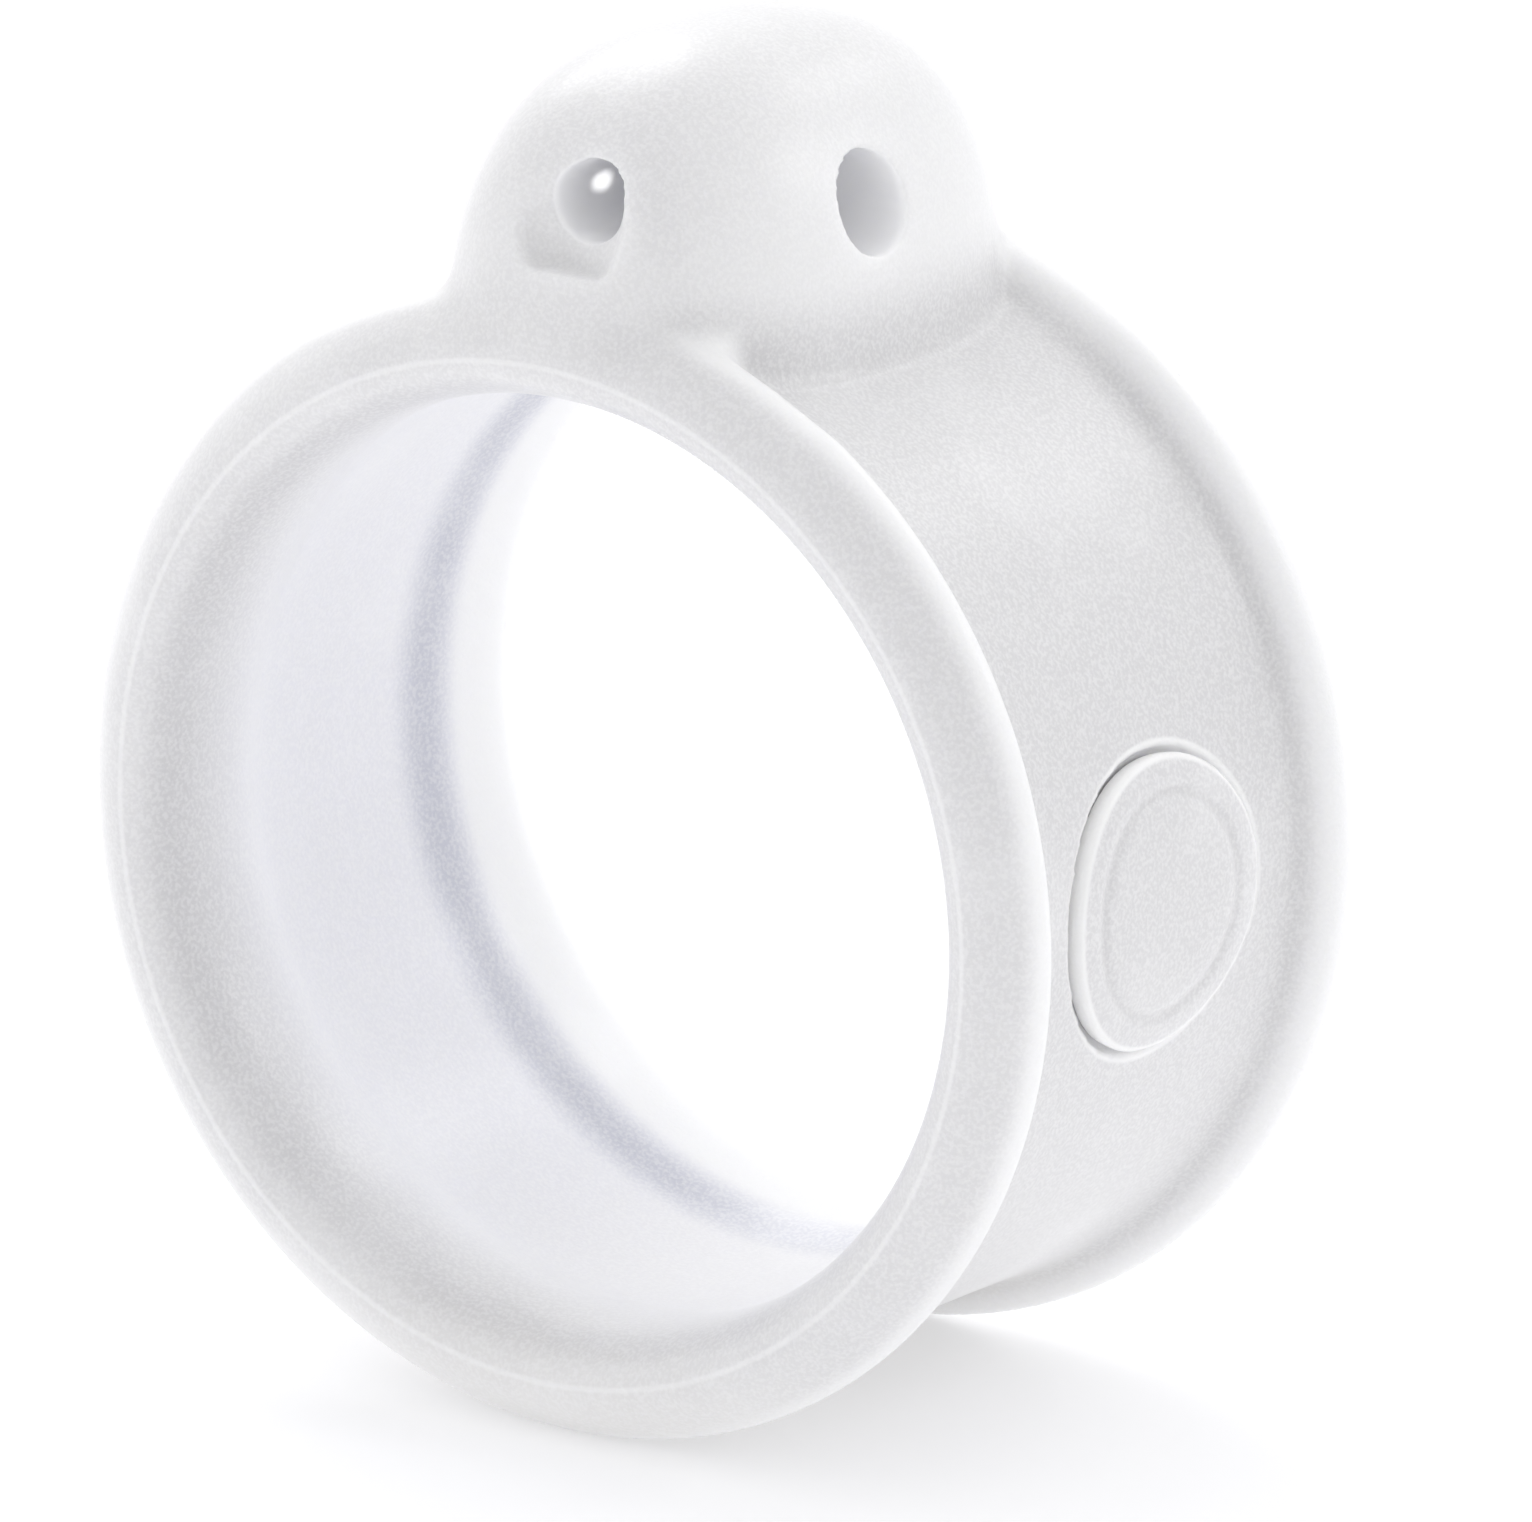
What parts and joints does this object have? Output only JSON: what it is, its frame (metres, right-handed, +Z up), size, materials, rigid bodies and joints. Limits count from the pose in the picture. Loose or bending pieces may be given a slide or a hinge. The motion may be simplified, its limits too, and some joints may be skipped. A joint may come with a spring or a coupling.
{
  "type": "elastic retaining band",
  "caption": "Short elastic band with a rounded lip at each end, a domed boss with crossing cord passages on top, and a round badge on its side.",
  "frame": {"origin": "on the ground, below the middle of the band, which stands on its two lips", "axes": "+Z up through the boss, +Y along the bore from front to back, +X to the right, towards the badge"},
  "size_m": [0.0404, 0.0214, 0.0483],
  "materials": {
    "frosted_elastomer": "frosted, translucent, fine even grain",
    "badge_elastomer": "frosted, translucent, slightly smoother face"
  },
  "bodies": {
    "root": {"band": "frosted_elastomer", "side_badge": "badge_elastomer"}
  },
  "joints": []
}
